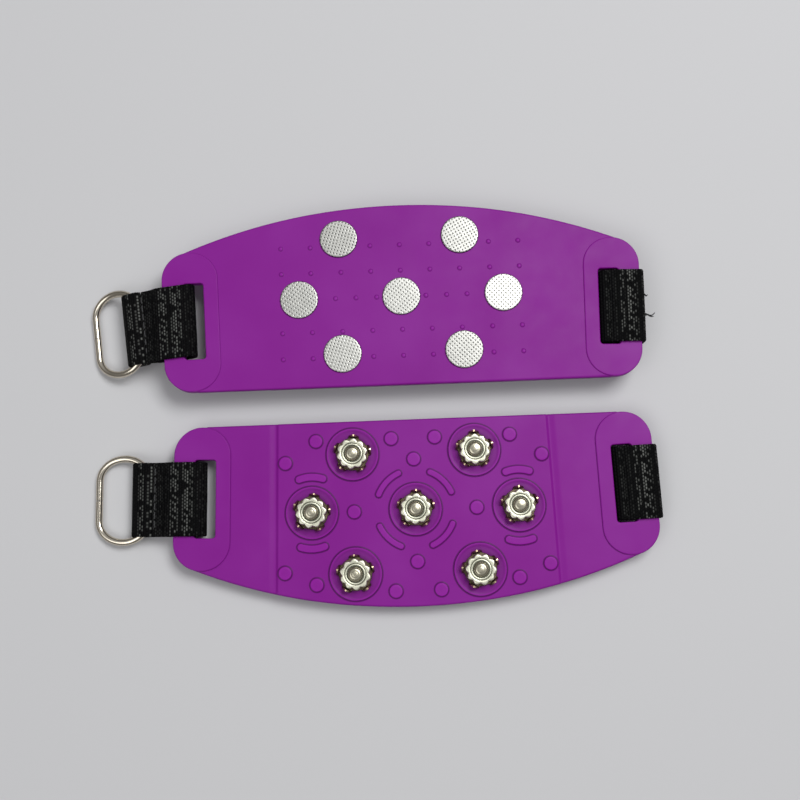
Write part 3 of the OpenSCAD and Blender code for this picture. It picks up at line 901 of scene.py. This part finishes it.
def tab_point(g, s, h):
    """A point of the drooping tab in the bar's frame."""
    a = math.radians(DROOP[g])
    return (TAB_PIVOT + s * math.cos(a) + h * math.sin(a), -s * math.sin(a) + h * math.cos(a))


def tab_webbing(g):
    """The ring tab: webbing looped round the left bar, its two layers sewn together."""
    build = Build()
    m = bar_frame(g, LEFT)
    # the two layers meet past the bar, and the loop's fold lies in the slot
    shoulder = [(7.9, 0.74), (6.9, 1.15), (5.6, 2.05), (4.3, 2.5), (2.0, 2.56), (-1.5, 2.56)]
    path = [tab_point(g, 2.0, 0.66), tab_point(g, 0.9, 0.67)] + shoulder + arc(-4.3, 0, LAYER_H, 90, 270, 10)
    path += [(x, -z) for x, z in shoulder[::-1]] + [tab_point(g, 0.9, -0.67), tab_point(g, 2.0, -0.66)]
    seed, skew = (1.3, -0.06) if g == "a" else (2.4, 0.0)
    webbing(build, path, m, seed, skew=skew, bright=(-3.6, 5.4))
    obj = build.finish(f"{g}_tab_webbing", WEBBING, smooth=60, weighted=False)
    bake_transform(obj)
    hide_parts(f"{g}_ring_loop", f"{g}_ring_tab")
    seams = Build()
    t = tab_frame(g)
    for side in (1, -1):
        stitches(seams, t, 2.0, side * 1.32, side)
        stitches(seams, t, 1.2, side * 1.3, side, y0=-9.2)
    obj = seams.finish(f"{g}_tab_stitches", THREAD, weighted=False)
    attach(obj, f"{g}_ring_tab")


def pocket_webbing(g):
    """The pocket at the tab's end, folded round the ring."""
    build = Build()
    t = tab_frame(g)
    reach = 6.9
    neck = [(1.9, 0.66), (2.2, 0.9), (2.7, 1.6), (3.3, 1.93), (4.4, 1.96)]
    path = neck + arc(reach, 0, 1.95, 90, -90, 10) + [(x, -z) for x, z in neck[::-1]]
    webbing(build, path, t, seed=3.1 if g == "a" else 4.7, along=20.0, wave=0.03, bright=(1.0, 6.6))
    obj = build.finish(f"{g}_pocket_webbing", WEBBING, smooth=60, weighted=False)
    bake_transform(obj)
    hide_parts(f"{g}_ring_pocket")


# ---------------------------------------------------------------- strap

def bar_webbing(g):
    """The strap's loop round the bar: up past the end, over the bar and down through the slot."""
    build = Build()
    m = bar_frame(g, RIGHT)
    fold_r, fold_x = 2.145, -7.605
    path = [(4.3, -3.55), (4.3, -2.4), (4.28, 0), (4.22, 1.6), (3.75, 2.35), (3.0, 2.56), (0, 2.56)]
    path += [(-3.6, 2.55), (-5.6, 2.3)] + arc(fold_x, fold_r - LAYER_H, fold_r, 75, 270, 10)
    path += [(x, -LAYER_H) for x in (-5, 0, 3.2)]
    webbing(build, path, m, seed=5.2 if g == "a" else 6.6, along=60.0, wave=0.05, bright=(-4.6, 2.4))
    obj = build.finish(f"{g}_bar_webbing", WEBBING, smooth=60, weighted=False)
    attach(obj, f"{g}_wing_right")
    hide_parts(f"{g}_strap_loop")


def strap_webbing(g):
    """The strap's long free end, from under the bar to its hidden end, and A's loose threads."""
    build = Build()
    m = bar_frame(g, RIGHT)
    h = TAIL_H[g]
    drop = h + STRAP_H
    path = [(x, -STRAP_H) for x in (4.6, 1, -9)]
    path += [(-11.5, -STRAP_H + drop * 0.12), (-20, -STRAP_H + drop * 0.88)]
    path += [(x, h) for x in (STRAP_BEND_X + 1.5, STRAP_BEND_X - 1.5, -60, STRAP_END_X)]
    webbing(build, path, m, seed=7.7 if g == "a" else 8.8, along=100.0, wave=0.0)
    obj = build.finish(f"{g}_strap_webbing", WEBBING, smooth=60, weighted=False)
    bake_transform(obj)
    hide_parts(f"{g}_strap_base", f"{g}_strap_tail")
    if g == "a":
        # loose threads at the strap's raw edge
        rng = random.Random(5)
        threads = Build()
        for y0, reach, fork in ((-3.4, 3.7, 0.8), (-3.1, 3.2, -0.7), (3.6, 1.5, 0.2)):
            path = []
            for k in range(9):
                t = k / 8
                wander = 0.25 * math.sin(k * 0.9) + rng.uniform(-0.06, 0.06)
                path.append((4.7 + reach * t, y0 + wander + fork * t * t, 1.3 - 0.9 * t))
            tube(threads, path, 0.34, 6, m, tone=0.5, taper=True)
        obj = threads.finish("a_loose_threads", THREAD, weighted=False)
        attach(obj, "a_wing_right")


def loop_pile(g):
    """Loop tape sewn under the strap: a bumpy pile of small loops with a plain back."""
    m = bar_frame(g, RIGHT)
    top = TAIL_H[g] - WEB_T / 2
    rng = random.Random(21)
    build = Build()
    x0, x1 = LOOP_TAPE
    nx, ny = 130, 66
    pile, back = [], []
    for i in range(nx + 1):
        for j in range(ny + 1):
            x, y = x0 + (x1 - x0) * i / nx, -TAPE_HALF_W + 2 * TAPE_HALF_W * j / ny
            edge = min(i, nx - i, j, ny - j)
            depth = (0.25 if edge == 0 else 0.85 if edge == 1 else 1.0) + rng.uniform(-0.14, 0.1) * (edge > 1)
            pile.append((x, y, top - depth))
            back.append((x, y, top))
    w = ny + 1
    size = (nx + 1) * w
    faces = []
    for i in range(nx):
        for j in range(ny):
            a = i * w + j
            faces.append([a, a + 1, a + w + 1, a + w])
            faces.append([size + a, size + a + w, size + a + w + 1, size + a + 1])
    for i in range(nx):
        for j in (0, ny):
            a, b = i * w + j, (i + 1) * w + j
            faces.append([a, b, size + b, size + a])
    for j in range(ny):
        for i in (0, nx):
            a, b = i * w + j, i * w + j + 1
            faces.append([a, b, size + b, size + a])
    build.add(pile + back, faces, m)
    obj = build.finish(f"{g}_loop_pile", LOOP_PILE, smooth=80, weighted=False)
    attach(obj, f"{g}_strap_tail")
    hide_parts(f"{g}_loop_tape")


def hook_pins(g):
    """Hook tape sewn under the strap's free end: rows of small hooks on a backing."""
    m = bar_frame(g, RIGHT)
    top = TAIL_H[g] - WEB_T / 2
    build = Build()
    x0, x1 = HOOK_TAPE
    backing = rounded((x0, -TAPE_HALF_W), (x1, TAPE_HALF_W), 0.8, 4)
    rounded_prism(build, backing, None, top - 0.5, top, 0.15, m)
    x = x0 + 1.2
    while x < x1 - 1:
        y = -10.4
        while y < 10.5:
            # each hook is a stem with its tip bent over
            stem = [(x, y, top - 0.45), (x, y, top - 0.9)]
            bent = [(x + 0.12, y, top - 1.08), (x + 0.36, y, top - 1.04)]
            tube(build, stem + bent, 0.11, 5, m)
            y += 1.15
        x += 1.3
    obj = build.finish(f"{g}_hook_pins", HOOK_NYLON, smooth=50)
    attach(obj, f"{g}_strap_tail")
    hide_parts(f"{g}_hook_tape")


for g in "ab":
    plate_middle(g)
    plate_wing(g, LEFT, "left")
    plate_wing(g, RIGHT, "right")
    discs(g)
    crown_rings(g)
    pins(g)
    claw_rings(g)
    ring_wire(g)
    tab_webbing(g)
    pocket_webbing(g)
    bar_webbing(g)
    strap_webbing(g)
    loop_pile(g)
    hook_pins(g)

# ---------------------------------------------------------------- stage and light

floor_mesh = bpy.data.meshes.new("floor")
floor_mesh.from_pydata([(-3, -3, 0), (3, -3, 0), (3, 3, 0), (-3, 3, 0)], [], [(0, 1, 2, 3)])
floor = bpy.data.objects.new("floor", floor_mesh)
bpy.context.scene.collection.objects.link(floor)
floor_paint, _, _, floor_shader = material("floor_paint", (0.56, 0.56, 0.57), 0.85)
floor_shader.inputs["Specular IOR Level"].default_value = 0.1
floor_mesh.materials.append(floor_paint)
floor.location.z = -0.06 * MM


def area_light(name, at, size, power):
    """A white soft box that faces the origin."""
    data = bpy.data.lights.new(name, "AREA")
    data.shape = "RECTANGLE"
    data.size, data.size_y = size
    data.energy = power
    obj = bpy.data.objects.new(name, data)
    obj.location = at
    obj.rotation_euler = (-Vector(at)).to_track_quat("-Z", "Y").to_euler()
    bpy.context.scene.collection.objects.link(obj)


area_light("key", (0.42, 0.38, 1.0), (0.6, 0.5), 9)
area_light("fill", (-0.6, -0.45, 1.0), (0.9, 0.7), 3.5)
# a room that is light above and darker at the sides
world = bpy.data.worlds.new("world")
world.use_nodes = True
nodes, links = world.node_tree.nodes, world.node_tree.links
background = nodes.get("Background") or nodes.new("ShaderNodeBackground")
if not nodes.get("World Output"):
    links.new(background.outputs[0], nodes.new("ShaderNodeOutputWorld").inputs[0])
sky_at = nodes.new("ShaderNodeTexCoord")
sky_part = nodes.new("ShaderNodeSeparateXYZ")
links.new(sky_at.outputs["Generated"], sky_part.inputs[0])
# (height, colour) from the side to straight above
wall, ceiling = (0.30, 0.29, 0.28), (0.85, 0.86, 0.88)
heights = [(0.0, wall), (0.45, wall), (0.75, (0.75, 0.76, 0.78)), (0.93, ceiling), (1.0, (0.5, 0.5, 0.52))]
sky = ramp(nodes, links, sky_part.outputs[2], heights)
links.new(sky, background.inputs[0])
background.inputs[1].default_value = 0.55
bpy.context.scene.world = world
bpy.context.scene.view_settings.view_transform = "Standard"

bpy.context.view_layer.update()
